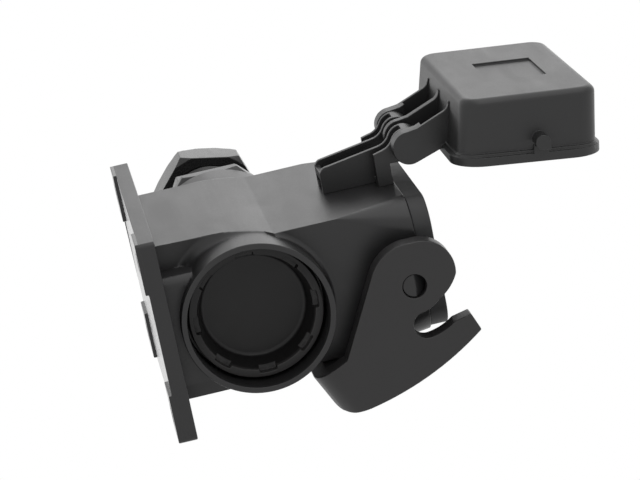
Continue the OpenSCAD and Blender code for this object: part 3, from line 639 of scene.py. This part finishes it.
# %% The webs
WEB_ROUND_STEPS = 12
COLLAR_R, COLLAR_SIDES = 18.4 * MM, 180         # inside the collar's wall
BORE_MIDDLE_X, BORE_L = 30 * MM, 40 * MM
WEB_SLIVER_MM = 0.02


def entry_web(end):
    """The web at one end (-1 or 1): a rounded block, hollowed to the collar."""
    def upper_front(*ends):
        return all(abs(v.x * end - WEB_FACE_X) < SAME_PLACE and v.y > 0 for v in ends)

    middle_x, middle_z = (WEB_ROOT_X + WEB_FACE_X) / 2, (WEB_LOW_Z + WEB_HIGH_Z) / 2
    bpy.ops.object.select_all(action="DESELECT")
    bpy.ops.mesh.primitive_cube_add(size=1, location=(end * middle_x, 0, middle_z))
    web = bpy.context.active_object
    web.scale = (WEB_FACE_X - WEB_ROOT_X, 2 * WEB_HALF_W, WEB_HIGH_Z - WEB_LOW_Z)
    bpy.ops.object.transform_apply(location=True, rotation=False, scale=True)
    bevel_where(web, upper_front, WEB_ROUND, WEB_ROUND_STEPS)
    bpy.ops.object.select_all(action="DESELECT")
    bpy.ops.mesh.primitive_cylinder_add(
        vertices=COLLAR_SIDES, radius=COLLAR_R, depth=BORE_L,
        location=(end * BORE_MIDDLE_X, 0, ENTRY_Z), rotation=(0, math.pi / 2, 0))
    bore = bpy.context.active_object
    bpy.ops.object.transform_apply(location=True, rotation=True, scale=True)
    join_solid(web, bore, "DIFFERENCE")
    return web


def add_webs(piece):
    for end in (-1, 1):
        join_solid(piece, entry_web(end), "UNION")
    merge_triangles(piece, WEB_SLIVER_MM)
    print("webs joined:", len(piece.data.polygons), "faces")


print("webs ready")

# %% [markdown]
# ## The plug's floor
# The plug's floor meets its wall in a small hollow round, which a bevel of that
# one loop of edges gives. The plug is also turned by half a notch, so that its
# notches stand as in the picture.

# %% Shape the plug
PLUG_FLOOR_X, PLUG_FLOOR_R = -25.6 * MM, 13.3 * MM
PLUG_ROUND, PLUG_ROUND_STEPS = 0.9 * MM, 4
FOOT_NEAR_X, FOOT_NEAR_R = 0.02 * MM, 0.1 * MM
HALF_NOTCH = math.radians(22.5)


def on_plug_foot(*ends):
    """True for an edge in the corner between the plug's floor and wall."""
    return all(abs(v.x - PLUG_FLOOR_X) < FOOT_NEAR_X
               and abs(math.hypot(v.y, v.z - ENTRY_Z) - PLUG_FLOOR_R) < FOOT_NEAR_R
               for v in ends)


def shape_plug(piece):
    bevel_where(piece, on_plug_foot, PLUG_ROUND, PLUG_ROUND_STEPS)
    with editing(piece):
        bpy.ops.transform.rotate(value=HALF_NOTCH, orient_axis="X",
                                 center_override=(0, 0, ENTRY_Z))
    print("plug turned, foot rounded")


print("plug shape ready")

# %% [markdown]
# ## The soft pieces
# Every piece that shows gets its soft copy, with a round between 0.12 mm on the
# bracket's thin ribs and 0.35 mm on the lever. The four corners of the shell's
# neck turn from sharp to round, each from one point like the tip of a cone, and
# these points are named for the shading.

# %% Soft copies of the mouldings
NECK_TIP_X, NECK_TIP_Y, NECK_TIP_Z = 29 * MM, 17.8 * MM, 50 * MM
neck_tips = [Vector((x, y, NECK_TIP_Z))
             for x in (-NECK_TIP_X, NECK_TIP_X) for y in (-NECK_TIP_Y, NECK_TIP_Y)]
soft_copy("housing_shell", "housing", shell_black, round_mm=0.24, sliver_mm=0.06, twice=False,
          shaped=add_webs, leave=beside_web, facets=on_web_round, tips=neck_tips)
soft_copy("locking_lever", "lever", lever_black, round_mm=0.35, sliver_mm=0.06)
soft_copy("cover_cap", "cover", cover_black, round_mm=0.16, sliver_mm=0.06, twice=False)
soft_copy("hinge_bracket", "housing", cover_black, round_mm=0.12, sliver_mm=0.16)
soft_copy("blanking_plug", "housing", plug_black, round_mm=0.2, sliver_mm=0.12,
          shaped=shape_plug)
soft_copy("gland_adapter", "housing", gland_black, round_mm=0.3, twice=False)
gland = soft_copy("gland_body", "housing", gland_black, round_mm=0.25)
soft_copy("gland_nut", "nut", gland_black, round_mm=0.24, twice=False)
soft_copy("mouth_seal", "housing", rubber_black, round_mm=0.3)

# %% [markdown]
# ## The gland's thread
# The nut runs on a thread of 1.5 mm pitch, and part of it shows between the
# nut and the spanner flats. The solid has a plain cylinder there. A small
# triangle is drawn on the cylinder's surface and a Screw modifier carries it
# round the axis, a pitch further on each turn, which is how a lathe cuts it.

# %% Cut the thread that shows
THREAD_X, THREAD_PITCH, THREAD_TURNS = 58.5 * MM, 1.5 * MM, 7
THREAD_ROOT_R, THREAD_CREST_R = 11.85 * MM, 12.4 * MM
THREAD_BASE = 0.75 * THREAD_PITCH   # width of the ridge at its root
THREAD_STEPS = 72                   # steps in one turn
THREAD_SMOOTH = math.radians(30)

bpy.ops.object.select_all(action="DESELECT")
bpy.ops.mesh.primitive_circle_add(vertices=3, radius=THREAD_PITCH / 2, fill_type="NOTHING",
                                  location=(0, 0, ENTRY_Z))
thread = bpy.context.active_object
profile = ((0.0, THREAD_ROOT_R), (0.5, THREAD_CREST_R), (1.0, THREAD_ROOT_R))
for corner, (along, radius) in zip(thread.data.vertices, profile):
    corner.co = (THREAD_X + along * THREAD_BASE, 0, radius)
bpy.ops.object.modifier_add(type="SCREW")
screw = thread.modifiers[-1]
screw.axis, screw.angle, screw.screw_offset = "X", 2 * math.pi, THREAD_PITCH
screw.iterations, screw.steps, screw.render_steps = THREAD_TURNS, THREAD_STEPS, THREAD_STEPS
bpy.ops.object.modifier_apply(modifier=screw.name)
bpy.ops.object.transform_apply(location=True, rotation=True, scale=True)
print("thread:", THREAD_TURNS, "turns,", len(thread.data.polygons), "faces")

# %% Close the thread and join it to the gland
with editing(thread):
    bpy.ops.mesh.remove_doubles(threshold=SAME_PLACE)
    bpy.ops.mesh.select_all(action="DESELECT")
    bpy.ops.mesh.select_mode(type="EDGE")
    bpy.ops.mesh.select_non_manifold()
    bpy.ops.mesh.fill_holes(sides=0)
    bpy.ops.mesh.select_all(action="SELECT")
    bpy.ops.mesh.normals_make_consistent(inside=False)
bpy.ops.object.shade_smooth_by_angle(angle=THREAD_SMOOTH)
thread.data.materials.append(gland_black)
only(gland)
thread.select_set(True)
bpy.ops.object.join()
print("thread joined:", len(gland.data.polygons), "faces in", gland.name)

# %% [markdown]
# ## The pieces inside
# The seal rings, the clamping cage and the brass bushes sit inside and hardly
# show. Their solids have the right shape already, so they stay as they are, and
# only a finish goes into their material slot.

# %% Finishes of the pieces inside
inner_finishes = {
    "insert_bushes": brass,
    "plug_seal_ring": rubber_black,
    "adapter_seal_ring": rubber_black,
    "gland_body_seal": rubber_black,
    "gland_cage": gland_black,
    "gland_seal_insert": rubber_black,
}
for node, finish in inner_finishes.items():
    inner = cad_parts[node]
    inner.data.materials.clear()
    inner.data.materials.append(finish)
print("inner pieces finished:", len(inner_finishes))

# %% [markdown]
# ## The stage
# The floor is a pale sheet under the flange. The camera of the picture stands a
# little lower than the flange, so the sheet is see-through from below and
# shows only to a camera above it. Reflections see it as white as the rest of the
# surrounding.

# %% Floor
FLOOR_SIZE, FLOOR_GAP = 6, 0.2 * MM
FIBRE_SCALE, FIBRE_DETAIL = 300, 2
PAPER_DARK, PAPER_LIGHT = (0.86, 0.86, 0.86), (0.9, 0.9, 0.9)
PAPER_ROUGHNESS, PAPER_GLOW = 0.9, 0.25
WHITE = (1, 1, 1, 1)

bpy.ops.object.select_all(action="DESELECT")
bpy.ops.mesh.primitive_plane_add(size=FLOOR_SIZE, location=(0, 0, -FLOOR_GAP))
floor = bpy.context.active_object
floor.name = "floor"
paper, paper_shader, paper_place = new_finish("pale_paper")
fibre = paper_place.noise(FIBRE_SCALE, FIBRE_DETAIL)
plug_in(paper_shader, "Base Color", fibre.mix(PAPER_DARK, PAPER_LIGHT))
paper_shader.inputs["Roughness"].default_value = PAPER_ROUGHNESS
paper_shader.inputs["Emission Color"].default_value = WHITE
paper_shader.inputs["Emission Strength"].default_value = PAPER_GLOW
from_below = paper_place.node("ShaderNodeNewGeometry", out="Backfacing")
mirrored = paper_place.node("ShaderNodeLightPath", out="Is Glossy Ray")
clear = paper_place.node("ShaderNodeBsdfTransparent")
glow = paper_place.node("ShaderNodeEmission", None, {"Color": WHITE, "Strength": 1.0})
sheet = paper_place.node("ShaderNodeMixShader", None,
                         {0: mirrored, 1: Wire(paper_shader.outputs[0]), 2: glow})
shown = paper_place.node("ShaderNodeMixShader", None, {0: from_below, 1: sheet, 2: clear})
plug_in(paper.node_tree.nodes["Material Output"], "Surface", shown)
floor.data.materials.append(paper)
print("floor", floor.dimensions.x, "m wide")

# %% [markdown]
# ## The light
# Black plastic shows its form mostly by reflection. The picture was taken in a
# white surrounding: faces that the camera meets at a shallow angle mirror the
# white and look grey, and faces square to the camera stay dark. So the world is
# white to the camera and to reflections, and dimmer as a light. A wide panel
# behind the housing and a wide soft lamp over the hinge side add what the
# surrounding does not.

# %% World
SEEN_LEVEL, LIGHT_LEVEL = 1.0, 0.45

world = bpy.data.worlds.new("studio")
bpy.context.scene.world = world
world.use_nodes = True
rays = world.node_tree.nodes.new("ShaderNodeLightPath")
seen = Wire(rays.outputs["Is Camera Ray"])
for ray in ("Is Glossy Ray", "Is Transmission Ray"):
    seen = seen.maths("MAXIMUM", seen, Wire(rays.outputs[ray]))
around = seen.node("ShaderNodeBackground", None, {"Color": WHITE, "Strength": LIGHT_LEVEL})
white = seen.node("ShaderNodeBackground", None, {"Color": WHITE, "Strength": SEEN_LEVEL})
sky = seen.node("ShaderNodeMixShader", None, {0: seen, 1: around, 2: white})
plug_in(world.node_tree.nodes["World Output"], "Surface", sky)
print("world seen at", SEEN_LEVEL, "and lighting at", LIGHT_LEVEL)

# %% Lamps
OBJECT_MIDDLE = Vector((0.01, 0, 0.05))


def soft_lamp(name, place, size, power):
    """A round area lamp that looks at the middle of the object."""
    lamp_data = bpy.data.lights.new(name, "AREA")
    lamp_data.shape, lamp_data.size, lamp_data.energy = "DISK", size, power
    lamp = bpy.data.objects.new(name, lamp_data)
    bpy.context.collection.objects.link(lamp)
    lamp.location = place
    lamp.rotation_euler = (OBJECT_MIDDLE - Vector(place)).to_track_quat("-Z", "Y").to_euler()
    print(name, power, "W")


soft_lamp("back_panel", place=(3.3, 1.1, 0.0), size=8.0, power=80)
soft_lamp("key_lamp", place=(-0.25, 0.95, 0.25), size=1.4, power=4)
